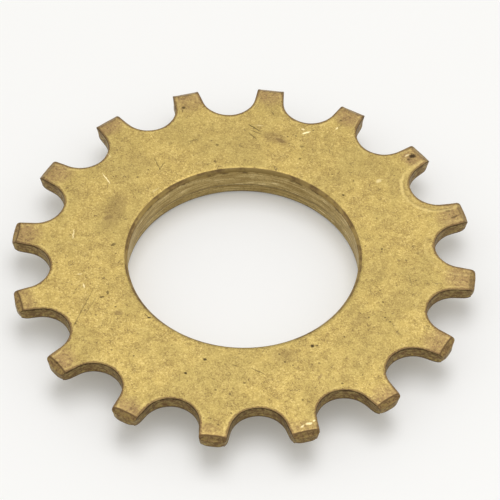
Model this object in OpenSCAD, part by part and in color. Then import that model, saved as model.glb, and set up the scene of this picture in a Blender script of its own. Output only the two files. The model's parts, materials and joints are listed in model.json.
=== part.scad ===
// Rear chain sprocket: one solid piece of brass, with a toothed plate, a plain bore
// and a spacer boss behind the plate.
// The origin is on the bore's axis, at the boss's flat back face. +Z points out of the
// front face. A tooth gap is centred on +X. All sizes are in millimetres.

/* [Chain] */
// Number of teeth
tooth_count = 16; // [14:1:24]
// Chain pitch, from the middle of one roller to the middle of the next
chain_pitch = 12.7; // [12.5:0.05:13.1]
// Diameter of the chain's rollers
roller_d = 7.75; // [7.5:0.05:8.0]

/* [Teeth] */
// How far the tooth tips stand out past the pitch circle
tip_rise = 1.95; // [1.5:0.05:2.3]
// How much deeper the gap is cut than the roller needs
root_relief = 0.1; // [0:0.05:0.3]
// How much larger the seat's radius is than the roller's
seat_clearance = 0.28; // [0.1:0.02:0.4]
// Angle between a flank and the middle line of its gap, in degrees
flank_angle = 16.6; // [12:0.2:20]
// Radius of the two corners of each tooth tip
tip_corner_r = 0.5; // [0.2:0.05:0.8]
// Thickness of the toothed plate
plate_t = 2.0; // [1.6:0.1:2.4]

/* [Tip bevels] */
// How far in from the tip the front bevel starts
front_bevel_in = 0.8; // [0.4:0.05:1.1]
// How far down the tip the front bevel reaches
front_bevel_down = 0.6; // [0.3:0.05:0.8]
// Size of the smaller bevel at the back of the tip
back_bevel = 0.35; // [0.1:0.05:0.6]

/* [Boss] */
// Thickness of the whole part, from the boss's back to the front face
total_t = 5.3; // [4.5:0.1:7]
// Outside diameter of the boss
boss_d = 44; // [40:0.5:46]
// Bevel around the boss's back edge
boss_bevel = 0.4; // [0.1:0.05:0.6]

/* [Bore] */
// Diameter of the front land, which centres the part
bore_d = 34.2; // [30:0.1:35]
// Bevel at the mouth of the bore, on the front face
bore_bevel = 0.45; // [0.2:0.05:0.6]
// Depth, from the front face, at which the front land ends
land_depth = 3.4; // [2.5:0.1:4]
// How much wider the back of the bore is than the land, on the radius
relief_step = 0.2; // [0.18:0.02:0.3]
// Bevel at the back of the bore
back_mouth_bevel = 0.25; // [0.1:0.05:0.4]

/* [Hidden] */

$fn = 96;

// Extra length of a cutter past the face that it leaves
past = 1;
gap_step = 360 / tooth_count;
pitch_r = chain_pitch / (2 * sin(180 / tooth_count));
root_r = pitch_r - roller_d / 2 - root_relief;
seat_r = roller_d / 2 + seat_clearance;
seat_x = root_r + seat_r;
tip_r = pitch_r + tip_rise;
bore_r = bore_d / 2;
relief_r = bore_r + relief_step;
boss_r = boss_d / 2;
plate_z = total_t - plate_t;

// Where a gap's upper flank leaves the seat's arc
flank_start = [seat_x - seat_r * sin(flank_angle), seat_r * cos(flank_angle)];
flank_dir = [cos(flank_angle), sin(flank_angle)];
// Unit vector from the flank into the tooth
into_tooth = [-sin(flank_angle), cos(flank_angle)];

// Distance along the flank, from its start, to the circle of radius r about the axis.
// The line is first moved into the tooth by the distance inset.
function along_flank(r, inset) =
    let (start = flank_start + inset * into_tooth)
    let (run = start * flank_dir)
    -run + sqrt(run * run - start * start + r * r);

function on_flank(distance, inset) = flank_start + inset * into_tooth + distance * flank_dir;

// A chain roller's seat with its two straight flanks, open past the tips
module gap_outline() {
    mouth = on_flank(along_flank(tip_r + past, 0), 0);
    translate([seat_x, 0])
        circle(r = seat_r);
    polygon([
        [flank_start.x, -flank_start.y],
        [mouth.x, -mouth.y],
        mouth,
        flank_start
    ]);
}

// What a rounded tip corner takes away from one side of a gap
module corner_waste() {
    run = along_flank(tip_r - tip_corner_r, tip_corner_r);
    centre = on_flank(run, tip_corner_r);
    corner = on_flank(along_flank(tip_r + past, 0), 0);
    difference() {
        polygon([
            on_flank(run, 0),
            corner,
            centre * (tip_r + past) / norm(centre),
            centre
        ]);
        translate(centre)
            circle(r = tip_corner_r);
    }
}

module toothed_outline() {
    difference() {
        circle(r = tip_r, $fn = 256);
        for (i = [0 : tooth_count - 1])
            rotate(i * gap_step) {
                gap_outline();
                corner_waste();
                mirror([0, 1])
                    corner_waste();
            }
    }
}

// Flat cuts across the front and back edges of every tooth tip
module tip_bevels() {
    slope = front_bevel_down / front_bevel_in;
    width = chain_pitch / 2;
    for (i = [0 : tooth_count - 1])
        rotate((i + 0.5) * gap_step)
            rotate([90, 0, 0])
                linear_extrude(width, center = true) {
                    polygon([
                        [tip_r - front_bevel_in, total_t],
                        [tip_r + past, total_t - front_bevel_down - past * slope],
                        [tip_r + past, total_t + past],
                        [tip_r - front_bevel_in, total_t + past]
                    ]);
                    polygon([
                        [tip_r - back_bevel, plate_z],
                        [tip_r - back_bevel, plate_z - past],
                        [tip_r + past, plate_z - past],
                        [tip_r + past, plate_z + back_bevel + past]
                    ]);
                }
}

module plate() {
    difference() {
        translate([0, 0, plate_z])
            linear_extrude(plate_t)
                toothed_outline();
        tip_bevels();
    }
}

// The shoulder that holds the plate away from its neighbour
module boss() {
    cylinder(h = boss_bevel, r1 = boss_r - boss_bevel, r2 = boss_r, $fn = 192);
    translate([0, 0, boss_bevel])
        cylinder(h = total_t - plate_t / 2 - boss_bevel, r = boss_r, $fn = 192);
}

// The space inside the bore: front bevel, centring land, wider back and back bevel
module bore_space() {
    rotate_extrude($fn = 192)
        polygon([
            [0, -past],
            [relief_r + back_mouth_bevel + past, -past],
            [relief_r, back_mouth_bevel],
            [relief_r, total_t - land_depth],
            [bore_r, total_t - land_depth],
            [bore_r, total_t - bore_bevel],
            [bore_r + bore_bevel + past, total_t + past],
            [0, total_t + past]
        ]);
}

module sprocket() {
    color("darkkhaki")
        difference() {
            union() {
                plate();
                boss();
            }
            bore_space();
        }
}

sprocket();
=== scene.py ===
import json
import math

import bmesh
import bpy
from bpy.props import FloatProperty, FloatVectorProperty, IntProperty, PointerProperty
from mathutils import Matrix, Vector, noise


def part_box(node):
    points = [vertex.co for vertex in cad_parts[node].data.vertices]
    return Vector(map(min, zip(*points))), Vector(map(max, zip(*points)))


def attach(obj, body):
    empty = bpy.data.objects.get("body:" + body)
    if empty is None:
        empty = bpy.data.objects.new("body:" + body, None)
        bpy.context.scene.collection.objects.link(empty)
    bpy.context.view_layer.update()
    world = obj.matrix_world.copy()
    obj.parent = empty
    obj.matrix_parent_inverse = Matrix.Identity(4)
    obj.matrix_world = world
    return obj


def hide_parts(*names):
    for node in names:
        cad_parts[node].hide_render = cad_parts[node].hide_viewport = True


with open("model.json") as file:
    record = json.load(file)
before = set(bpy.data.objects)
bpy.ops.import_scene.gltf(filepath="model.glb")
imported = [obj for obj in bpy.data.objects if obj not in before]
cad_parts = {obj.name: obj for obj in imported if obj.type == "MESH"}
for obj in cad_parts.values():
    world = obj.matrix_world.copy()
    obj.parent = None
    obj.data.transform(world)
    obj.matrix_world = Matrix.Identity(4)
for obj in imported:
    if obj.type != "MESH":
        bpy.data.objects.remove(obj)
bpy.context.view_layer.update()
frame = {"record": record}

bl_info = {
    "name": "Worn brass chain sprocket",
    "version": (1, 0, 0),
    "blender": (4, 5, 0),
    "location": "View3D > Sidebar > Sprocket",
    "description": "Makes an old brass chain sprocket and a pale studio to show it in",
    "category": "Add Mesh",
}

NODE = "sprocket"
MOUNTS = {mount["name"]: mount for mount in frame["record"]["mounts"]}
MM = 0.001
FACE_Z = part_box(NODE)[1].z
LAND_R = MOUNTS["bore"]["dims"]["r_mm"] * MM
LAND_LENGTH = MOUNTS["bore"]["dims"]["length_mm"] * MM
LAND_TOP = MOUNTS["bore"]["pos_m"][2] + LAND_LENGTH / 2
LAND_BOTTOM = LAND_TOP - LAND_LENGTH
# The flat front face lies this far under the frame's box, which leaves room for its swells.
SINK = 0.012 * MM
# The toothed outline is made of these many edges on each part of half a tooth.
SEAT_EDGES, FLANK_EDGES, CORNER_EDGES, TIP_EDGES = 18, 9, 4, 6


# ---------------------------------------------------------------- settings


class SprocketSizes(bpy.types.PropertyGroup):
    """Sizes of the sprocket that the frame doesn't state as a box or a mount."""

    teeth: IntProperty(name="Teeth", description="Number of teeth", default=16, min=8)
    pitch: FloatProperty(
        name="Chain pitch", description="Distance between the chain's rollers",
        default=0.0127, unit="LENGTH", precision=5)
    roller: FloatProperty(
        name="Roller", description="Diameter of the chain's rollers",
        default=0.00775, unit="LENGTH", precision=5)
    tip_rise: FloatProperty(
        name="Tip rise", description="How far the tips stand out past the pitch circle",
        default=0.00195, unit="LENGTH", precision=5)
    root_relief: FloatProperty(
        name="Root relief", description="How much deeper the gap is than the roller needs",
        default=0.0001, unit="LENGTH", precision=5)
    seat_clearance: FloatProperty(
        name="Seat clearance", description="How much larger the seat is than the roller",
        default=0.00028, unit="LENGTH", precision=5)
    flank_angle: FloatProperty(
        name="Flank angle", description="Angle between a flank and its gap's middle line",
        default=math.radians(16.6), unit="ROTATION")
    tip_corner: FloatProperty(
        name="Tip corner", description="Radius of the corners of each tooth tip",
        default=0.0004, unit="LENGTH", precision=5)
    plate: FloatProperty(
        name="Plate", description="Thickness of the toothed plate",
        default=0.002, unit="LENGTH", precision=5)
    boss: FloatProperty(
        name="Boss", description="Outside radius of the boss at the back",
        default=0.022, unit="LENGTH", precision=5)
    front_bevel: FloatProperty(
        name="Front bevel", description="How far in from the tip the front bevel starts",
        default=0.0008, unit="LENGTH", precision=5)
    front_drop: FloatProperty(
        name="Front drop", description="How far down the tip the front bevel reaches",
        default=0.0006, unit="LENGTH", precision=5)
    back_bevel: FloatProperty(
        name="Back bevel", description="Size of the bevel at the back of each tip",
        default=0.00035, unit="LENGTH", precision=5)
    edge_wear: FloatProperty(
        name="Edge wear", description="Radius worn on the front edges of the teeth",
        default=0.00012, unit="LENGTH", precision=5)


def colour_property(name, description, red, green, blue):
    """A colour that a user can change. It may be brighter than white, for lights."""
    return FloatVectorProperty(
        name=name, description=description, default=(red, green, blue, 1), size=4,
        min=0, max=4, soft_max=1, subtype="COLOR")


class SprocketColours(bpy.types.PropertyGroup):
    """The colours that the old brass is mixed from."""

    brass: colour_property("Brass", "Clean metal of the front face", 0.497, 0.366, 0.117)
    olive: colour_property("Olive", "Face where it has aged evenly", 0.443, 0.333, 0.110)
    dull: colour_property("Dull", "Broad, duller patches", 0.37, 0.262, 0.095)
    grain: colour_property("Grain", "Fine dark grain", 0.21, 0.14, 0.05)
    # Bright also paints the highlights along the lips and round the rubbed hollows.
    bright: colour_property("Bright", "Fine light grain and rubbed lips", 0.78, 0.615, 0.25)
    # Gleam also paints the glints of light in the bore.
    gleam: colour_property("Gleam", "Fresh nicks and glints", 1.0, 0.86, 0.50)
    russet: colour_property("Russet", "Light tarnish on the tooth ends", 0.32, 0.208, 0.095)
    # Brown also paints shade on the tips towards the near side and on the plate's back.
    brown: colour_property("Brown", "Heavy tarnish at the edges", 0.17, 0.105, 0.048)
    # Dark also paints the shade below the bore's step and at its foot.
    dark: colour_property("Dark", "Dirt in pits, scores and corners", 0.055, 0.036, 0.02)
    rust: colour_property("Rust", "Reddish dust between the grain", 0.19, 0.11, 0.045)
    scratch: colour_property("Scratch", "Fine hair scratches", 0.14, 0.095, 0.045)
    wall: colour_property("Wall", "Cut wall round the teeth", 0.45, 0.345, 0.135)
    stain: colour_property("Stain", "Reddish patches on the cut wall", 0.20, 0.108, 0.046)
    bore: colour_property("Bore", "Turned wall of the bore", 0.64, 0.50, 0.22)


class StudioSettings(bpy.types.PropertyGroup):
    """The camera's place and the studio's light."""

    azimuth: FloatProperty(
        name="Azimuth", description="Direction of the camera round the sprocket",
        default=math.radians(17.6), unit="ROTATION")
    elevation: FloatProperty(
        name="Elevation", description="Height of the camera above the horizon",
        default=math.radians(49.4), unit="ROTATION")
    roll: FloatProperty(
        name="Roll", description="Tilt of the camera about its line of sight",
        default=math.radians(1.13), unit="ROTATION")
    distance: FloatProperty(
        name="Distance", description="Distance from the camera to the front face",
        default=0.4892, unit="LENGTH", precision=4)
    lens: FloatProperty(
        name="Lens", description="Focal length of the camera in millimetres",
        default=238.0, unit="CAMERA")
    aim_right: FloatProperty(
        name="Aim right", description="How far right of the bore's centre the camera aims",
        default=0.00101, unit="LENGTH", precision=5)
    aim_up: FloatProperty(
        name="Aim up", description="How far above the bore's centre the camera aims",
        default=0.00085, unit="LENGTH", precision=5)
    light_size: FloatProperty(
        name="Light size", description="Side of the square soft light",
        default=0.55, unit="LENGTH", precision=3)
    light_power: FloatProperty(
        name="Light power", description="Power of the soft light", default=2.0, unit="POWER")
    overhead: colour_property("Overhead", "Light of the room above", 0.71, 0.71, 0.715)
    overhead_lean: FloatProperty(
        name="Overhead lean", description="How far the room's light leans away from the camera",
        default=math.radians(14), unit="ROTATION")
    far_side: colour_property("Far side", "Low light at the sides and behind", 1.4, 1.37, 1.2)
    near_side: colour_property("Near side", "Low light from the camera's side", 0.32, 0.31, 0.27)
    floor: colour_property("Floor", "Pale table under the sprocket", 0.70, 0.70, 0.71)
    floor_glow: colour_property("Floor glow", "Light that evens out the table", 1.0, 0.985, 0.9)
    glow_strength: FloatProperty(
        name="Glow strength", description="Strength of the table's own light",
        default=0.2, min=0, precision=3)


# ---------------------------------------------------------------- shaping


def loop_edges(ring):
    """The edges between neighbours in a closed ring of vertices, in order."""
    edges = []
    for index, vert in enumerate(ring):
        other = ring[index - 1]
        edges.append(next(edge for edge in vert.link_edges if edge.other_vert(vert) == other))
    return edges


class Loft:
    """Grows a skin ring by ring and keeps each vertex's masks for the material."""

    def __init__(self, sizes):
        self.bm = bmesh.new()
        self.depth = self.bm.verts.layers.float.new("depth")
        self.bevel = self.bm.verts.layers.float.new("bevel")
        self.plan = ToothPlan(sizes)
        self.first = self.plan.outline(self.bm)
        self.ring = self.first
        self.skin = Skin(sizes, self.plan, self.first)

    def place(self, places, depth):
        """Moves the newest ring and notes how far in from the rim it lies, in mm."""
        for vert, place in zip(self.ring, places):
            vert.co = place
            vert[self.depth] = depth
            vert[self.bevel] = self.skin.tip_share(place)

    def grow(self, places, depth):
        """Extrudes the newest ring to new places."""
        made = bmesh.ops.extrude_edge_only(self.bm, edges=loop_edges(self.ring))["geom"]
        fresh = {item for item in made if isinstance(item, bmesh.types.BMVert)}
        self.ring = [
            next(v for v in (e.other_vert(vert) for e in vert.link_edges) if v in fresh)
            for vert in self.ring]
        self.place(places, depth)

    def close(self):
        """Joins the newest ring to the first one and turns all faces outward."""
        bmesh.ops.bridge_loops(self.bm, edges=loop_edges(self.ring) + loop_edges(self.first))
        bmesh.ops.recalc_face_normals(self.bm, faces=self.bm.faces[:])


def last_vert(made):
    """The one vertex among the things that an operator has made."""
    return next(item for item in made if isinstance(item, bmesh.types.BMVert))


def sweep(bm, vert, centre, angle, steps):
    """Turns a vertex about a vertical axis, drawing an arc, and returns its last vertex."""
    made = bmesh.ops.spin(
        bm, geom=[vert], cent=centre, axis=(0, 0, 1), dvec=(0, 0, 0),
        angle=angle, steps=steps, use_merge=False, use_duplicate=False)
    return last_vert(made["geom_last"])


def line_to(bm, vert, place, steps):
    """Draws a straight line of equal edges from a vertex and returns its last vertex."""
    start = vert.co.copy()
    for step in range(1, steps + 1):
        vert = last_vert(bmesh.ops.extrude_vert_indiv(bm, verts=[vert])["verts"])
        vert.co = start.lerp(place, step / steps)
    return vert


class ToothPlan:
    """The plan of the teeth: where seats, flanks and tips meet, worked out from the sizes."""

    def __init__(self, sizes):
        self.step = 2 * math.pi / sizes.teeth
        self.teeth = sizes.teeth
        pitch_radius = sizes.pitch / (2 * math.sin(self.step / 2))
        self.root = pitch_radius - sizes.roller / 2 - sizes.root_relief
        self.tip = pitch_radius + sizes.tip_rise
        self.seat = sizes.roller / 2 + sizes.seat_clearance
        self.seat_centre = Vector((self.root + self.seat, 0, 0))
        self.corner = sizes.tip_corner
        self.flank_dir = Vector((math.cos(sizes.flank_angle), math.sin(sizes.flank_angle), 0))
        self.into_tooth = Vector((-self.flank_dir.y, self.flank_dir.x, 0))
        self.flank_start = self.seat_centre + self.into_tooth * self.seat
        self.seat_turn = math.pi / 2 - sizes.flank_angle
        inner = self.flank_start + self.into_tooth * self.corner
        run = inner.dot(self.flank_dir)
        reach = self.tip - self.corner
        along = -run + math.sqrt(run * run - inner.length_squared + reach * reach)
        self.corner_centre = inner + self.flank_dir * along
        self.flank_end = self.flank_start + self.flank_dir * along
        outward = self.corner_centre.normalized()
        self.corner_turn = math.acos(max(-1.0, min(1.0, outward.dot(-self.into_tooth))))
        self.tip_turn = self.step / 2 - math.atan2(outward.y, outward.x)

    def outline(self, bm):
        """Draws the whole toothed outline and returns its vertices in order."""
        vert = bm.verts.new((self.root, 0, 0))
        vert = sweep(bm, vert, self.seat_centre, -self.seat_turn, SEAT_EDGES)
        vert = line_to(bm, vert, self.flank_end, FLANK_EDGES)
        vert = sweep(bm, vert, self.corner_centre, self.corner_turn, CORNER_EDGES)
        sweep(bm, vert, (0, 0, 0), self.tip_turn, TIP_EDGES)
        bmesh.ops.mirror(
            bm, geom=bm.verts[:] + bm.edges[:], matrix=Matrix.Identity(4),
            merge_dist=1e-7, axis="Y")
        bmesh.ops.spin(
            bm, geom=bm.verts[:] + bm.edges[:], cent=(0, 0, 0), axis=(0, 0, 1),
            dvec=(0, 0, 0), angle=2 * math.pi, steps=self.teeth,
            use_merge=True, use_duplicate=True)
        bmesh.ops.remove_doubles(bm, verts=bm.verts[:], dist=0.001 * MM)
        start = min((v for v in bm.verts if v.co.x > 0), key=lambda v: abs(v.co.y))
        ring = [start]
        ahead = max((e.other_vert(start) for e in start.link_edges), key=lambda v: v.co.y)
        while ahead is not start:
            ring.append(ahead)
            ahead = next(
                v for v in (e.other_vert(ahead) for e in ahead.link_edges) if v is not ring[-2])
        return ring


# ---------------------------------------------------------------- the sprocket's surface


def soft_ramp(value, softness):
    """Nought below nought and value above it, with a rounded corner between."""
    return softness * math.log1p(math.exp(max(-40.0, min(40.0, value / softness))))


def smooth_step(low, high, value):
    """A smooth change from nought to one while value goes from low to high."""
    share = max(0.0, min(1.0, (value - low) / (high - low)))
    return share * share * (3 - 2 * share)


class Skin:
    """Places the rings of vertices that make the sprocket's surface."""

    # Rings follow the rim down to this depth, and become circles by this radius.
    DEPTH = 1.45 * MM
    BLEND_R = 26 * MM
    # A tip's bevel starts this much nearer the tip at its corners, bows inward by this
    # much in the middle, and has an inner edge rounded by this much.
    BEVEL_LEAD = 0.15 * MM
    BEVEL_BOW = 0.2 * MM
    BEVEL_SOFTNESS = 0.06 * MM
    # The tip's corners are cut back below: where the cut starts, how far down it is full,
    # how wide it is round a corner, how far into the metal it fades, and its full depth.
    CUT_TOP = 0.3 * MM
    CUT_HEIGHT = 1.7 * MM
    CUT_WIDTH = 0.75 * MM
    CUT_REACH = 0.9 * MM
    CUT_DEPTH = 0.46 * MM
    # Unevenness of the cut wall, and the radius worn on its back edge.
    WALL_ROUGHNESS = 0.025 * MM
    BACK_WEAR = 0.08 * MM

    def __init__(self, sizes, plan, ring):
        self.sizes = sizes
        self.plan = plan
        self.back_z = FACE_Z - sizes.plate
        self.taper = math.tan(sizes.flank_angle - plan.step / 2)
        axis, side = self.tooth_frame(plan.flank_start)
        self.flank_out = plan.flank_start.dot(axis)
        self.flank_half = abs(plan.flank_start.dot(side))
        self.rim = [vert.co.copy() for vert in ring]
        self.inward = []
        count = len(self.rim)
        for index in range(count):
            along = (self.rim[(index + 1) % count] - self.rim[index - 1]).normalized()
            self.inward.append(Vector((-along.y, along.x, 0)))
        self.even = [2 * math.pi * index / count for index in range(count)]
        self.packed = []
        for index in range(count):
            place = self.inset(index, self.DEPTH)
            self.packed.append(math.atan2(place.y, place.x) % (2 * math.pi))
        self.packed[0] = 0.0

    def tooth_frame(self, place):
        """The axis and the side direction of the tooth nearest to a place."""
        number = math.floor((math.atan2(place.y, place.x) % (2 * math.pi)) / self.plan.step)
        turn = (number + 0.5) * self.plan.step
        axis = Vector((math.cos(turn), math.sin(turn), 0))
        return axis, Vector((-axis.y, axis.x, 0))

    def half_width(self, out):
        """Half the width of a tooth at a distance out along its axis."""
        return self.flank_half - (out - self.flank_out) * self.taper

    def inset(self, index, depth):
        """A place on the rim moved into the metal. A tooth closes in on its own middle."""
        place = self.rim[index]
        axis, side = self.tooth_frame(place)
        out, across = place.dot(axis), place.dot(side)
        if out < self.flank_out:
            return place + self.inward[index] * depth
        up = (out - self.flank_out) / (self.plan.tip - self.flank_out)
        return axis * (out - depth * up) + side * across * (1 - depth / self.half_width(out))

    def circle(self, radius, z, evenness=1.0):
        """A ring of one radius. Its vertices gather behind the teeth when evenness is low."""
        places = []
        for packed, even in zip(self.packed, self.even):
            angle = packed + (even - packed) * evenness
            places.append(Vector((radius * math.cos(angle), radius * math.sin(angle), z)))
        return places

    def bevel_drop(self, place, start, slope, bow):
        """How far a tip's bevel has fallen at a place. Its inner edge bows inward by bow."""
        axis, side = self.tooth_frame(place)
        out, across = place.dot(axis), place.dot(side)
        share = min(1.0, abs(across) / self.half_width(self.plan.tip))
        edge = self.plan.tip - start - bow * (1 - share ** 3)
        return slope * soft_ramp(out - edge, self.BEVEL_SOFTNESS)

    def front_drop(self, place, slope):
        """How far the front bevel of a tip has fallen at a place, for a slope."""
        start = self.sizes.front_bevel - self.BEVEL_LEAD
        return self.bevel_drop(place, start, slope, self.BEVEL_BOW)

    def tip_share(self, place):
        """How far down the front bevel of a tip a place lies, from 0 at its top."""
        return min(1.0, self.front_drop(place, 1.0) / self.sizes.front_bevel)

    def front_z(self, place):
        """Height of the front face, with its bevels and slight swells."""
        drop = self.front_drop(place, self.sizes.front_drop / self.sizes.front_bevel)
        swell = noise.noise(place * 260) * 0.010 * MM + noise.noise(place * 900) * 0.005 * MM
        return FACE_Z - SINK - drop + swell

    def back_face_z(self, place):
        """Height of the plate's back face, with the small bevels of its tips."""
        drop = self.bevel_drop(place, self.sizes.back_bevel, 1.0, 0.0)
        return self.back_z + drop + noise.noise(place * 500) * 0.01 * MM

    def wear(self, index):
        """The radius worn on the rim's front edge at one vertex."""
        return self.sizes.edge_wear * (1 + 0.45 * noise.noise(self.rim[index] * 420))

    def near_rim(self, index, depth, z, rough):
        """A place close to the rim. The wall is uneven, and tip corners are cut back below."""
        place = self.rim[index].copy()
        axis, side = self.tooth_frame(place)
        gap = math.hypot(
            self.plan.tip - place.dot(axis),
            self.half_width(self.plan.tip) - abs(place.dot(side)))
        fall = max(0.0, (FACE_Z - self.CUT_TOP - z) / self.CUT_HEIGHT)
        fade = max(0.0, 1 - depth / self.CUT_REACH)
        cut = math.exp(-(gap / self.CUT_WIDTH) ** 2) * fall * fade * self.CUT_DEPTH
        place.z = z * 2
        rough *= (noise.noise(place * 800) + 1) * self.WALL_ROUGHNESS
        place = self.inset(index, depth) + self.inward[index] * (rough + cut)
        return Vector((place.x, place.y, z))

    def edge(self, turn, radius, height, sign):
        """One ring of a rounded edge, from the wall at 0 to a face at 90 degrees."""
        places = []
        for index in range(len(self.rim)):
            bend = radius(index)
            z = height(self.inset(index, bend)) - sign * bend * (1 - math.sin(turn))
            places.append(self.near_rim(index, bend * (1 - math.cos(turn)), z, math.cos(turn)))
        return places

    def front_edge(self, turn):
        """One ring of the worn edge between the cut wall and the front face."""
        return self.edge(turn, self.wear, self.front_z, 1)

    def back_edge(self, turn):
        """One ring of the small edge between the cut wall and the plate's back face."""
        return self.edge(turn, lambda index: self.BACK_WEAR, self.back_face_z, -1)

    def wall(self, share):
        """One ring of the cut wall, at a share of the way from its back to its front."""
        places = []
        for index, (low, high) in enumerate(zip(self.back_edge(0), self.front_edge(0))):
            places.append(self.near_rim(index, 0.0, low.z + (high.z - low.z) * share, 1.0))
        return places

    def flat(self, depth, height):
        """One ring on a face of the plate, at a depth in from the rim."""
        return [
            self.near_rim(index, depth, height(self.inset(index, depth)), 0.0)
            for index in range(len(self.rim))]

    def between(self, share, height):
        """One ring on the way from the deepest inset rim to the blending circle."""
        places = []
        for index, goal in enumerate(self.circle(self.BLEND_R, 0, 0.0)):
            place = self.inset(index, self.DEPTH).lerp(goal, share)
            places.append(Vector((place.x, place.y, height(place))))
        return places

    def ring_at(self, radius, height):
        """One ring of a face of the plate, spread more evenly the nearer it is to the bore."""
        evenness = smooth_step(self.BLEND_R, 19 * MM, radius)
        return [Vector((p.x, p.y, height(p))) for p in self.circle(radius, 0, evenness)]


def bore_profile(sizes):
    """Radius and height of each ring down the bore, round the boss and back up to the plate."""
    relief = LAND_R + 0.2 * MM
    mouth = FACE_Z - LAND_TOP
    back_mouth = 0.25 * MM
    edge = 0.04 * MM
    boss = sizes.boss
    boss_bevel = 0.4 * MM
    fillet = 0.25 * MM
    back_z = FACE_Z - sizes.plate
    profile = [(LAND_R + mouth + edge, FACE_Z - SINK), (LAND_R + mouth, FACE_Z - edge)]
    profile += [(LAND_R + mouth * s, LAND_TOP + mouth * s) for s in (0.66, 0.33)]
    profile += [(LAND_R + edge * 0.5, LAND_TOP), (LAND_R, LAND_TOP - edge * 2)]
    steps = 7
    for step in range(1, steps):
        profile.append((LAND_R, LAND_TOP - LAND_LENGTH * step / steps))
    profile += [(LAND_R, LAND_BOTTOM + edge), (LAND_R + edge, LAND_BOTTOM)]
    profile += [(relief - edge, LAND_BOTTOM - edge), (relief, LAND_BOTTOM - 3 * edge)]
    for share in (0.75, 0.5, 0.25):
        profile.append((relief, back_mouth + (LAND_BOTTOM - back_mouth) * share))
    profile += [(relief, back_mouth + edge), (relief + edge, back_mouth - edge)]
    profile += [(relief + back_mouth - edge, edge), (relief + back_mouth + edge, 0)]
    profile += [(relief + (boss - relief) * 0.5, 0)]
    profile += [(boss - boss_bevel - edge, 0), (boss - boss_bevel + edge, edge)]
    profile += [(boss - edge, boss_bevel - edge), (boss, boss_bevel + edge)]
    profile += [(boss, back_z * 0.5), (boss, back_z - fillet)]
    profile += [(boss + fillet * 0.3, back_z - fillet * 0.3), (boss + fillet, back_z)]
    return profile


def build_sprocket(sizes):
    """The whole sprocket as one closed skin, grown ring by ring from its toothed outline.

    Each ring is given its depth in from the rim in mm, for the material. It is below nought
    on the cut wall, lowest at the back, and the same all over the rest of the sprocket.
    """
    loft = Loft(sizes)
    skin = loft.skin
    far_in, wall_top, wall_bottom = 4.0, -0.16, -2.0
    loft.place(skin.front_edge(0), wall_top)
    for degrees, depth in ((25, -0.1), (50, -0.03), (72, 0.05), (90, 0.16)):
        loft.grow(skin.front_edge(math.radians(degrees)), depth)
    for depth in (0.27, 0.38, 0.5, 0.63, 0.77, 0.92, 1.15):
        loft.grow(skin.flat(depth * MM, skin.front_z), depth)
    loft.grow(skin.flat(skin.DEPTH, skin.front_z), skin.DEPTH / MM)
    for share in (0.2, 0.4, 0.6, 0.8, 1.0):
        loft.grow(skin.between(share, skin.front_z), skin.DEPTH / MM + share)
    for radius in (24.2, 22.4, 20.6, 19.0, 18.0):
        loft.grow(skin.ring_at(radius * MM, skin.front_z), far_in)
    for radius, z in bore_profile(sizes):
        loft.grow(skin.circle(radius, z), far_in)
    for radius in (23, 24, 25):
        loft.grow(skin.ring_at(radius * MM, skin.back_face_z), far_in)
    for share in (1.0, 0.66, 0.33):
        loft.grow(skin.between(share, skin.back_face_z), skin.DEPTH / MM + share)
    for depth in (skin.DEPTH / MM, 0.8, 0.4, 0.2):
        loft.grow(skin.flat(depth * MM, skin.back_face_z), depth)
    for degrees, depth in ((90, 0.1), (45, -0.05), (0, wall_bottom)):
        loft.grow(skin.back_edge(math.radians(degrees)), depth)
    for share in (0.2, 0.4, 0.6, 0.8):
        loft.grow(skin.wall(share), -1.8 * (1 - share) + wall_top)
    loft.close()
    return loft.bm


# ---------------------------------------------------------------- materials


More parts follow.
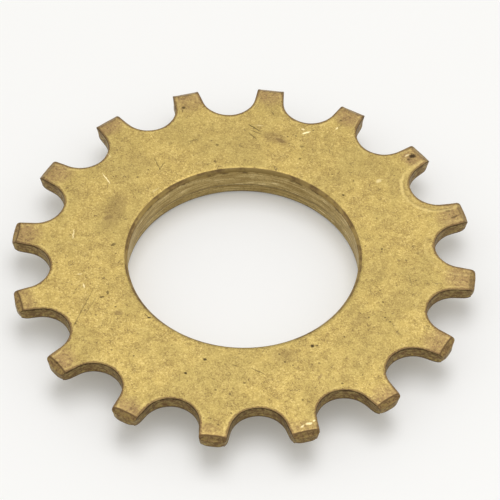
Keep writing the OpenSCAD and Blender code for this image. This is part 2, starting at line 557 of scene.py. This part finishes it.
class Graph:
    """A short way to write down the nodes of a material or of the sky."""

    # Places of the sockets on a Mix node that mixes colours.
    MIX_SHARE, MIX_FIRST, MIX_SECOND, MIX_RESULT = 0, 6, 7, 2

    def __init__(self, tree):
        self.tree = tree

    def feed(self, socket, value):
        """Links a node's result to a socket, or sets the socket to a plain value."""
        if isinstance(value, bpy.types.NodeSocket):
            self.tree.links.new(value, socket)
        else:
            socket.default_value = value

    def make(self, kind, inputs, output=0, **settings):
        """Adds a node with its settings and inputs and returns one of its outputs."""
        node = self.tree.nodes.new("ShaderNode" + kind)
        for name, value in settings.items():
            setattr(node, name, value)
        for name, value in inputs.items():
            self.feed(node.inputs[name], value)
        return node.outputs[output]

    def math(self, operation, a, b=0.0):
        return self.make("Math", {0: a, 1: b}, operation=operation)

    def times(self, a, b):
        return self.math("MULTIPLY", a, b)

    def plus(self, a, b):
        return self.math("ADD", a, b)

    def swing(self, value, amount):
        """A noise's swing to either side of its middle, times an amount."""
        return self.times(self.math("SUBTRACT", value, 0.5), amount)

    def along(self, place, direction):
        """How far a place lies along a direction."""
        return self.make("VectorMath", {0: place, 1: direction}, output=1, operation="DOT_PRODUCT")

    def stretch(self, place, factors):
        """A place scaled by its own factor along each axis."""
        return self.make("VectorMath", {0: place, 1: factors}, operation="MULTIPLY")

    def ramp(self, value, low, high, start=0.0, end=1.0):
        """A smooth change from start to end while value goes from low to high."""
        return self.make(
            "MapRange",
            {"Value": value, "From Min": low, "From Max": high, "To Min": start, "To Max": end},
            interpolation_type="SMOOTHSTEP")

    def band(self, value, start, full, fade, end):
        """One while value lies between full and fade, and nought outside start and end."""
        return self.times(self.ramp(value, start, full), self.ramp(value, end, fade))

    def noise(self, place, scale, detail=2.0, roughness=0.5, distortion=0.0):
        return self.make("TexNoise", {
            "Vector": place, "Scale": scale, "Detail": detail, "Roughness": roughness,
            "Distortion": distortion})

    def blend(self, share, first, second):
        """The first colour where share is nought and the second where it is one."""
        node = self.tree.nodes.new("ShaderNodeMix")
        node.data_type = "RGBA"
        self.feed(node.inputs[self.MIX_SHARE], share)
        self.feed(node.inputs[self.MIX_FIRST], first)
        self.feed(node.inputs[self.MIX_SECOND], second)
        return node.outputs[self.MIX_RESULT]

    def ellipse(self, place, spot):
        """A soft spot on the front face, nought outside and its strength in the middle.

        The place holds x, y and one, so that one dot product gives a distance along each axis.
        """
        x, y, length, width, turn, strength = spot
        cos, sin = math.cos(math.radians(turn)), math.sin(math.radians(turn))
        lengthways = Vector((cos, sin, -x * cos - y * sin)) * 2 / length
        sideways = Vector((-sin, cos, x * sin - y * cos)) * 2 / width
        reach = 0.0
        for axis in (lengthways, sideways):
            share = self.along(place, axis)
            reach = self.make("Math", {0: share, 1: share, 2: reach}, operation="MULTIPLY_ADD")
        return self.ramp(reach, 1.6, 0.2, 0.0, strength)

    def spots(self, place, table):
        """All the spots of a table laid over one another."""
        total = self.ellipse(place, table[0])
        for spot in table[1:]:
            total = self.plus(total, self.ellipse(place, spot))
        return total


# Marks on the front face: x, y, length and width in mm, turn in degrees, and strength.
PITS = (
    (18.0, 27.3, 1.1, 0.8, 30, 0.9), (17.6, 26.4, 0.5, 0.4, 0, 0.6),
    (10.4, 16.3, 0.4, 0.35, 0, 0.9), (19.0, 8.0, 0.4, 0.35, 0, 0.8),
    (2.0, 21.2, 0.45, 0.35, 20, 0.6), (1.5, 23.7, 0.8, 0.6, 0, 0.45),
    (-18.2, 25.4, 0.6, 0.45, 20, 0.8), (-18.1, 24.7, 0.4, 0.3, 0, 0.6),
    (-10.8, 19.8, 0.55, 0.4, 0, 0.6), (-17.0, -14.3, 0.8, 0.4, 30, 0.65),
    (-16.5, -13.2, 0.9, 0.4, 110, 0.55), (-9.2, -15.7, 0.5, 0.45, 0, 0.8),
    (-9.7, -15.4, 1.0, 0.15, 150, 0.6), (-0.8, -23.7, 0.45, 0.4, 0, 0.9),
    (1.0, -20.4, 0.6, 0.45, 0, 0.85), (14.9, -13.0, 0.55, 0.5, 0, 0.9),
    (16.8, -15.7, 0.35, 0.3, 0, 0.8), (24.2, -5.0, 0.4, 0.3, 0, 0.7),
    (4.3, -25.2, 0.4, 0.3, 0, 0.6), (-18.9, -4.2, 0.9, 0.45, 60, 0.6),
    (10.9, -16.0, 0.4, 0.3, 0, 0.6), (12.1, -17.1, 0.35, 0.3, 0, 0.6),
    (13.4, -17.3, 0.3, 0.3, 0, 0.5), (27.4, 17.6, 1.2, 0.35, 50, 0.5),
    (26.2, 18.4, 0.9, 0.4, 20, 0.4),
)
STAINS = (
    (-21.0, 2.2, 8.0, 3.0, 92, 0.3), (-13.7, -16.3, 1.3, 0.9, 0, 0.5),
    (-2.8, 24.0, 4.4, 2.0, 172, 0.4), (-2.0, 23.8, 2.0, 0.7, 165, 0.35),
    (17.7, -18.0, 1.2, 0.5, 80, 0.5), (-21.5, 0.5, 1.5, 0.9, 40, 0.35),
    (3.2, -11.0, 1.4, 0.8, 0, 0.3), (20.0, -6.0, 3.5, 1.6, 60, 0.2),
    (11.5, -16.0, 4.0, 3.0, 20, 0.25), (-8.6, 14.7, 2.6, 0.7, 28, 0.9),
)
NICKS = (
    (1.2, 26.6, 1.3, 0.35, 40, 0.8), (0.6, 27.1, 0.5, 0.3, 0, 0.6),
    (5.4, 29.0, 0.6, 0.25, 60, 0.7), (14.6, 20.8, 1.0, 0.6, 60, 0.3),
    (-24.4, 7.8, 2.3, 0.16, 138, 0.75), (-26.5, 13.0, 3.2, 0.13, 145, 0.35),
    (-25.2, -4.2, 1.7, 0.18, 106, 0.6), (-20.3, -13.1, 0.9, 0.25, 120, 0.6),
    (-21.6, -11.2, 0.8, 0.2, 20, 0.4), (18.8, -26.6, 0.9, 0.45, 30, 0.7),
    (19.3, -25.9, 0.5, 0.3, 70, 0.6), (18.0, -27.4, 0.7, 0.3, 60, 0.6),
    (-6.0, 25.7, 1.6, 0.14, 10, 0.3), (-16.6, 8.0, 1.4, 0.3, 62, 0.2),
    (17.2, 27.2, 0.8, 0.3, 60, 0.5),
)
SCORES = (
    (-6.6, 25.0, 2.4, 0.22, 160, 0.75), (-6.0, 24.2, 1.9, 0.2, 170, 0.7),
    (-6.3, 23.3, 2.0, 0.2, 150, 0.6), (-18.9, -17.5, 9.0, 0.18, 88, 0.45),
    (-18.0, -16.5, 5.0, 0.15, 84, 0.35), (-18.2, 13.2, 3.0, 0.18, 130, 0.55),
    (-17.3, 13.0, 2.2, 0.18, 80, 0.5), (-10.5, -12.5, 3.0, 0.16, 35, 0.35),
    (9.0, -20.0, 2.4, 0.2, 170, 0.6), (5.4, -20.1, 1.0, 0.2, 0, 0.6),
    (-14.5, 19.5, 2.6, 0.18, 40, 0.45), (24.8, 3.5, 2.8, 0.16, 120, 0.4),
)
# Brown tarnish on tooth ends, laid out like the marks.
TARNISH = (
    (32.2, 6.4, 6.0, 5.0, 10, 0.85), (27.6, 17.8, 6.0, 5.0, 35, 0.75),
    (18.6, 27.4, 4.6, 4.6, 55, 0.7), (-31.9, 6.7, 5.0, 4.4, 170, 0.75),
    (-27.8, 18.4, 4.6, 4.0, 145, 0.6), (32.0, -6.4, 5.0, 5.0, 0, 0.7),
    (-31.8, -6.4, 4.6, 4.0, 10, 0.6), (-18.0, 26.8, 4.4, 4.4, 125, 0.55),
    (-6.6, 32.2, 4.2, 4.2, 100, 0.55), (-18.4, -27.0, 4.0, 3.6, 55, 0.6),
    (6.6, 32.0, 4.4, 4.6, 80, 0.7), (27.6, -18.2, 4.4, 4.0, 145, 0.6),
    (-6.4, -32.0, 3.6, 3.0, 80, 0.45),
)
# Hollows rubbed by the chain round some of the gaps: x, y and radius in mm, and strength.
RUBS = (
    (22.9, 22.6, 5.1, 0.8), (30.0, 12.1, 5.3, 0.25), (32.2, 0.2, 5.4, 0.2),
)


class OldBrass(Graph):
    """Old brass: warm, mottled and scratched, brown at the tooth ends and on its cut walls.

    All the places and heights in it are in mm.
    """

    def __init__(self, material, colours):
        super().__init__(material.node_tree)
        self.colours = colours
        coords = self.make("TexCoord", {}, output=3)
        self.place = self.make("VectorMath", {0: coords, "Scale": 1 / MM}, operation="SCALE")
        x, self.y, self.z = (
            self.make("SeparateXYZ", {0: self.place}, output=axis) for axis in range(3))
        level = self.make("CombineXYZ", {"X": x, "Y": self.y})
        self.radius = self.make("VectorMath", {0: level}, output=1, operation="LENGTH")
        self.depth = self.make("Attribute", {}, output=2, attribute_name="depth")
        self.bevel = self.make("Attribute", {}, output=2, attribute_name="bevel")
        self.broad = self.noise(self.place, 0.13, 3.0, 0.55)
        self.patchy = self.noise(self.place, 0.35, 3.0, 0.6)
        self.cloud = self.noise(self.place, 0.7, 4.0, 0.62)
        self.chip = self.noise(self.place, 1.9, 3.0, 0.65)
        self.grain = self.noise(self.place, 3.5, 3.0, 0.7)
        self.dust = self.noise(self.place, 6.5, 1.0, 0.6)
        self.front = self.times(self.ramp(self.z, 4.6, 4.9), self.ramp(self.depth, -0.05, 0.1))
        self.wall = self.ramp(self.depth, 0.02, -0.06)
        self.inside = self.ramp(self.radius, 17.64, 17.54)
        self.flat = self.ragged_place()

    def ragged_place(self):
        """The place on the front face as x, y and one, a little out of true for ragged marks."""
        warp = self.make(
            "TexNoise", {"Vector": self.place, "Scale": 2.2, "Detail": 2.0}, output=1)
        shift = self.make("VectorMath", {0: warp, 1: (0.5, 0.5, 0.5)}, operation="SUBTRACT")
        shift = self.make("VectorMath", {0: shift, "Scale": 0.35}, operation="SCALE")
        moved = self.make("VectorMath", {0: self.place, 1: shift}, operation="ADD")
        return self.make(
            "VectorMath", {0: moved, 1: (1, 1, 0), 2: (0, 0, 1)}, operation="MULTIPLY_ADD")

    def marks(self, table):
        """The spots of a table, on the front face only."""
        return self.times(self.spots(self.flat, table), self.front)

    def aged_face(self):
        """The face's mottled colour, with its dark and light grain and its hair scratches."""
        ramp, blend, times, colours = self.ramp, self.blend, self.times, self.colours
        colour = blend(ramp(self.broad, 0.35, 0.65), colours.brass, colours.olive)
        colour = blend(ramp(self.patchy, 0.45, 0.7, 0.0, 0.25), colour, colours.dull)
        colour = blend(ramp(self.cloud, 0.45, 0.75, 0.0, 0.12), colour, colours.dull)
        gritty = ramp(self.patchy, 0.35, 0.6, 0.35, 0.6)
        pale = ramp(self.broad, 0.6, 0.4, 0.3, 0.6)
        colour = blend(times(ramp(self.grain, 0.5, 0.7), gritty), colour, colours.grain)
        colour = blend(times(ramp(self.grain, 0.49, 0.32), pale), colour, colours.bright)
        colour = blend(times(ramp(self.dust, 0.54, 0.68), gritty), colour, colours.rust)
        bent = self.noise(self.place, 0.5, 2.0, 0.5, 1.2)
        hair = self.math("ABSOLUTE", self.math("SUBTRACT", bent, 0.5))
        hair = times(ramp(hair, 0.013, 0.001), ramp(self.cloud, 0.44, 0.54, 0.0, 0.65))
        return blend(hair, colour, colours.scratch)

    def rubbed(self):
        """Where the chain has rubbed hollows round gaps, and the painted highlights along the
        raised edges round those.
        """
        hollows, ridge_highlights = 0.0, 0.0
        for x, y, size, strength in RUBS:
            gap = self.make(
                "VectorMath", {0: self.flat, 1: (x, y, 1)}, output=1, operation="DISTANCE")
            gap = self.plus(gap, self.swing(self.cloud, 0.5))
            hollows = self.plus(hollows, self.ramp(gap, size, size - 0.5, 0.0, strength))
            # Painted highlight along the raised edge round each hollow.
            ridge_highlight = self.band(gap, size - 0.4, size - 0.1, size, size + 0.4)
            ridge_highlights = self.plus(ridge_highlights, self.times(ridge_highlight, strength))
        broken = self.times(self.front, self.ramp(self.patchy, 0.4, 0.6, 0.35, 1.0))
        return self.times(hollows, self.front), self.times(ridge_highlights, broken)

    def tarnish(self, colour):
        """Lays brown tarnish over the tooth ends."""
        outward = self.plus(self.radius, self.times(self.patchy, 5.0))
        ends = self.ramp(outward, 33.2, 36.4, 0.0, 0.75)
        ends = self.math("MINIMUM", self.plus(ends, self.marks(TARNISH)), 1.0)
        ends = self.times(ends, self.ramp(self.grain, 0.36, 0.6, 0.45, 1.0))
        colour = self.blend(self.times(ends, 0.9), colour, self.colours.russet)
        rotten = self.times(ends, self.ramp(self.chip, 0.5, 0.6, 0.0, 0.7))
        return self.blend(rotten, colour, self.colours.brown)

    def rims(self, colour, hollows, ridge_highlights):
        """Lays the rubbed hollows, the painted highlights along the lips and round the hollows,
        and the brown rims over the face.
        """
        ramp, blend, times, colours = self.ramp, self.blend, self.times, self.colours
        ragged = self.plus(self.depth, self.swing(self.cloud, 0.6))
        ragged = self.plus(ragged, self.swing(self.grain, 0.9))
        # Painted highlight: a light band just inside the brown rim, where the lips would catch the
        # light.
        lip_highlight = times(self.band(ragged, 0.35, 0.5, 0.55, 0.9), ramp(self.patchy, 0.6, 0.4, 0.0, 0.2))
        rim = times(ramp(ragged, 0.42, 0.24), ramp(self.patchy, 0.3, 0.6, 0.7, 0.97))
        rim = times(rim, ramp(self.bevel, 0.3, 0.9, 1.0, 0.45))
        colour = blend(times(hollows, 0.35), colour, colours.dull)
        colour = blend(lip_highlight, colour, colours.bright)
        colour = blend(times(ridge_highlights, 0.7), colour, colours.bright)
        return blend(rim, colour, colours.brown)

    def tips(self, colour):
        """Lays tarnish colours on the tips' bevels and a brown line on the crests above them, as
        painted shade that grows towards the near side, away from the light.
        """
        ramp, blend, times, colours = self.ramp, self.blend, self.times, self.colours
        nearer = self.plus(self.y, times(self.patchy, 12.0))
        tip = blend(ramp(self.grain, 0.4, 0.6), colours.russet, colours.brown)
        tip = blend(ramp(self.chip, 0.52, 0.42, 0.0, 0.8), tip, colours.dull)
        # Painted shade: the tarnish on the bevels grows stronger towards the near side, where less
        # light falls.
        share = times(ramp(self.bevel, 0.02, 0.3), ramp(nearer, 14.0, 3.0, 0.35, 0.9))
        colour = blend(share, colour, tip)
        # Painted shade: a brown line along the top of each bevel, also stronger towards the near
        # side.
        crest_shade = self.band(self.bevel, 0.01, 0.06, 0.12, 0.3)
        return blend(times(crest_shade, ramp(nearer, 12.0, 0.0, 0.2, 0.95)), colour, colours.brown)

    def flecks(self):
        """Small round pits of many sizes, scattered by chance."""
        cells = {"Vector": self.place, "Scale": 0.9}
        middle = self.make("TexVoronoi", cells, output=0)
        chance = self.make("SeparateXYZ", {0: self.make("TexVoronoi", cells, output=1)}, output=0)
        reach = self.ramp(chance, 0.55, 1.0, 0.0, 0.15)
        return self.ramp(self.math("SUBTRACT", middle, reach), 0.05, -0.05, 0.0, 0.6)

    def cut_wall(self):
        """The colour of the cut wall round the teeth: streaky, stained and dark at its edges."""
        ramp, blend, times, colours = self.ramp, self.blend, self.times, self.colours
        streak = self.noise(self.stretch(self.place, (1, 1, 2.6)), 1.3, 4.0, 0.68)
        colour = blend(ramp(streak, 0.32, 0.66), colours.wall, colours.brown)
        colour = blend(ramp(self.grain, 0.48, 0.66, 0.0, 0.6), colour, colours.brown)
        colour = blend(ramp(self.chip, 0.48, 0.62, 0.0, 0.6), colour, colours.stain)
        wavy = self.plus(self.depth, times(self.chip, 0.6))
        flash = times(ramp(self.chip, 0.46, 0.36, 0.0, 0.8), ramp(wavy, -0.9, -1.3))
        colour = blend(flash, colour, colours.brass)
        top_line = times(ramp(wavy, -0.08, 0.14), ramp(self.bevel, 0.3, 0.9, 0.75, 0.0))
        colour = blend(top_line, colour, colours.dark)
        return blend(ramp(wavy, -1.45, -1.7, 0.0, 0.8), colour, colours.dark)

    def bore_wall(self):
        """The colour of the bore: turned lines with painted glints, painted shade below the step
        and at its foot, and a brown mouth with a dark band under it.
        """
        ramp, blend, times, colours = self.ramp, self.blend, self.times, self.colours
        turned = self.noise(self.stretch(self.place, (0.22, 0.22, 5.5)), 1.0, 4.0, 0.6)
        colour = blend(ramp(turned, 0.35, 0.65), colours.bore, colours.dull)
        colour = blend(ramp(self.grain, 0.45, 0.7, 0.0, 0.55), colour, colours.grain)
        # Painted highlight: bright glints of light scattered along the turned lines.
        glint = times(ramp(turned, 0.42, 0.3), ramp(self.cloud, 0.56, 0.42))
        colour = blend(glint, colour, colours.gleam)
        uneven = self.plus(self.z, self.swing(self.cloud, 0.5))
        # Painted shade: a dark band just below the step, where the step casts its shade.
        line = times(self.band(uneven, 1.6, 1.85, 1.9, 2.15), ramp(self.cloud, 0.4, 0.6, 0.2, 0.8))
        colour = blend(line, colour, colours.dark)
        # Painted shade: darker towards the foot of the bore, where it meets the table.
        colour = blend(ramp(uneven, 0.5, 0.15, 0.0, 0.8), colour, colours.dark)
        mouth = blend(ramp(self.chip, 0.42, 0.58), colours.russet, colours.brown)
        mouth = blend(ramp(self.patchy, 0.45, 0.6, 0.0, 0.7), colours.dull, mouth)
        colour = blend(ramp(uneven, 4.55, 4.78, 0.0, 0.85), colour, mouth)
        # A dark band just under the brown mouth.
        mouth_line = self.band(uneven, 4.5, 4.68, 4.78, 4.95)
        colour = blend(times(mouth_line, ramp(self.cloud, 0.45, 0.6, 0.0, 0.5)), colour, colours.dark)
        grime = ramp(self.patchy, 0.42, 0.6, 0.15, 0.7)
        return blend(times(ramp(uneven, 4.95, 5.2), grime), colour, colours.brown)


def brass_material(colours):
    """Lays the colours of the old brass over one another and sets its shader."""
    material = bpy.data.materials.new("old brass")
    material.use_nodes = True
    brass = OldBrass(material, colours)
    hollows, ridge_highlights = brass.rubbed()
    flecks = brass.flecks()
    pits = brass.marks(PITS)
    colour = brass.tarnish(brass.aged_face())
    colour = brass.tips(brass.rims(colour, hollows, ridge_highlights))
    colour = brass.blend(brass.marks(STAINS), colour, colours.brown)
    colour = brass.blend(flecks, colour, colours.dark)
    dirt = brass.math("MINIMUM", brass.plus(pits, brass.marks(SCORES)), 1.0)
    colour = brass.blend(dirt, colour, colours.dark)
    colour = brass.blend(brass.marks(NICKS), colour, colours.gleam)
    colour = brass.blend(brass.wall, colour, brass.cut_wall())
    colour = brass.blend(brass.inside, colour, brass.bore_wall())
    outside = brass.math("SUBTRACT", 1.0, brass.inside)
    # Painted shade: the plate's back, the boss and the foot of the cut walls are browned, which
    # darkens the table's shadow beneath them.
    under = brass.times(brass.ramp(brass.z, 3.7, 3.3, 0.0, 0.6), outside)
    colour = brass.blend(under, colour, colours.brown)

    rough = brass.ramp(brass.cloud, 0.3, 0.7, 0.42, 0.54)
    rough = brass.plus(rough, brass.times(brass.math("MAXIMUM", brass.wall, brass.inside), 0.05))
    rough = brass.plus(rough, brass.times(pits, 0.2))
    height = brass.plus(brass.times(brass.grain, 0.7), brass.times(brass.dust, 0.3))
    height = brass.plus(height, brass.times(flecks, -0.8))
    height = brass.plus(height, brass.times(hollows, -1.6))
    bump = brass.make("Bump", {"Strength": 0.6, "Distance": 0.05 * MM, "Height": height})
    shader = material.node_tree.nodes["Principled BSDF"]
    settings = {"Base Color": colour, "Roughness": rough, "Normal": bump, "Metallic": 1.0}
    for name, value in settings.items():
        brass.feed(shader.inputs[name], value)
    return material


# ---------------------------------------------------------------- operators


class SPROCKET_OT_make(bpy.types.Operator):
    """Make the sprocket as one closed, worn skin"""

    bl_idname = "sprocket.make"
    bl_label = "Make Sprocket"

    def execute(self, context):
        bm = build_sprocket(context.scene.sprocket_sizes)
        if not all(edge.is_manifold for edge in bm.edges):
            raise RuntimeError("The sprocket's skin isn't closed")
        mesh = bpy.data.meshes.new("worn_sprocket")
        bm.to_mesh(mesh)
        bm.free()
        for polygon in mesh.polygons:
            polygon.use_smooth = True
        piece = bpy.data.objects.new("worn_sprocket", mesh)
        context.scene.collection.objects.link(piece)
        mesh.materials.append(brass_material(context.scene.sprocket_colours))
        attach(piece, "root")
        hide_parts(NODE)
        return {"FINISHED"}


class SPROCKET_OT_stage(bpy.types.Operator):
    """Set the pale floor, the soft light and the camera"""

    bl_idname = "sprocket.stage"
    bl_label = "Set Stage"

    def execute(self, context):
        scene = context.scene
        studio = scene.sprocket_studio
        scene.view_settings.view_transform = "Standard"
        place_camera(scene, studio)
        place_floor(scene, studio)
        place_lights(scene, studio)
        if scene.camera is None or scene.world is None:
            raise RuntimeError("The stage has no camera or no room light")
        return {"FINISHED"}


def place_camera(scene, studio):
    """Sets the camera on a sphere round the sprocket, turned to its centre."""
    azimuth, elevation = studio.azimuth, studio.elevation
    back = Vector((
        math.sin(azimuth) * math.cos(elevation),
        -math.cos(azimuth) * math.cos(elevation),
        math.sin(elevation)))
    level = Vector((math.cos(azimuth), math.sin(azimuth), 0))
    upright = back.cross(level)
    right = level * math.cos(studio.roll) + upright * math.sin(studio.roll)
    up = upright * math.cos(studio.roll) - level * math.sin(studio.roll)
    camera = bpy.data.cameras.new("camera")
    camera.sensor_width = 36
    camera.lens = studio.lens
    camera.clip_start = 0.01
    camera.clip_end = 10
    holder = bpy.data.objects.new("camera", camera)
    scene.collection.objects.link(holder)
    place = Vector((0, 0, FACE_Z)) + back * studio.distance
    place += right * studio.aim_right + up * studio.aim_up
    turn = Matrix((right, up, back)).transposed().to_4x4()
    holder.matrix_world = Matrix.Translation(place) @ turn
    scene.camera = holder


def place_floor(scene, studio):
    """Lays a pale table a hair below the sprocket."""
    bm = bmesh.new()
    bmesh.ops.create_grid(bm, x_segments=1, y_segments=1, size=3.0)
    bmesh.ops.translate(bm, vec=(0, 0, -0.02 * MM), verts=bm.verts[:])
    mesh = bpy.data.meshes.new("floor")
    bm.to_mesh(mesh)
    bm.free()
    floor = bpy.data.objects.new("floor", mesh)
    scene.collection.objects.link(floor)
    material = bpy.data.materials.new("pale table")
    material.use_nodes = True
    shader = material.node_tree.nodes["Principled BSDF"]
    shader.inputs["Base Color"].default_value = studio.floor
    shader.inputs["Emission Color"].default_value = studio.floor_glow
    shader.inputs["Emission Strength"].default_value = studio.glow_strength
    shader.inputs["Roughness"].default_value = 0.35
    mesh.materials.append(material)


def place_lights(scene, studio):
    """Sets the light of the room, brightest above and behind, and one large soft light."""
    world = bpy.data.worlds.new("studio")
    world.use_nodes = True
    scene.world = world
    sky = Graph(world.node_tree)
    lookup = sky.make("TexCoord", {})
    away = Vector((-math.sin(studio.azimuth), math.cos(studio.azimuth), 0))
    lean = studio.overhead_lean
    above = away * math.sin(lean) + Vector((0, 0, math.cos(lean)))
    behind = sky.ramp(sky.along(lookup, away), -0.8, 0.1)
    light = sky.blend(behind, studio.near_side, studio.far_side)
    light = sky.blend(sky.ramp(sky.along(lookup, above), -0.1, 0.95), light, studio.overhead)
    sky.feed(world.node_tree.nodes["Background"].inputs["Color"], light)

    softbox = bpy.data.lights.new("softbox", "AREA")
    softbox.shape = "SQUARE"
    softbox.size = studio.light_size
    softbox.energy = studio.light_power
    holder = bpy.data.objects.new("softbox", softbox)
    scene.collection.objects.link(holder)
    holder.matrix_world = (
        Matrix.Rotation(studio.azimuth, 4, "Z")
        @ Matrix.Translation((0.06, 0.24, 0.7))
        @ Matrix.Rotation(math.radians(-18), 4, "X"))


class SPROCKET_PT_panel(bpy.types.Panel):
    """Lists the sprocket's operators and settings"""

    bl_idname = "SPROCKET_PT_panel"
    bl_label = "Chain Sprocket"
    bl_space_type = "VIEW_3D"
    bl_region_type = "UI"
    bl_category = "Sprocket"

    def draw(self, context):
        for operator in OPERATORS:
            self.layout.operator(operator.bl_idname)
        scene = context.scene
        for group in (scene.sprocket_sizes, scene.sprocket_colours, scene.sprocket_studio):
            box = self.layout.box()
            for name in group.bl_rna.properties.keys():
                if name not in {"rna_type", "name"}:
                    box.prop(group, name)


OPERATORS = (SPROCKET_OT_stage, SPROCKET_OT_make)
CLASSES = (SprocketSizes, SprocketColours, StudioSettings) + OPERATORS + (SPROCKET_PT_panel,)


def register():
    for item in CLASSES:
        bpy.utils.register_class(item)
    bpy.types.Scene.sprocket_sizes = PointerProperty(type=SprocketSizes)
    bpy.types.Scene.sprocket_colours = PointerProperty(type=SprocketColours)
    bpy.types.Scene.sprocket_studio = PointerProperty(type=StudioSettings)


def unregister():
    del bpy.types.Scene.sprocket_studio
    del bpy.types.Scene.sprocket_colours
    del bpy.types.Scene.sprocket_sizes
    for item in reversed(CLASSES):
        bpy.utils.unregister_class(item)


def main():
    register()
    bpy.ops.sprocket.stage()
    bpy.ops.sprocket.make()


if __name__ == "__main__":
    main()
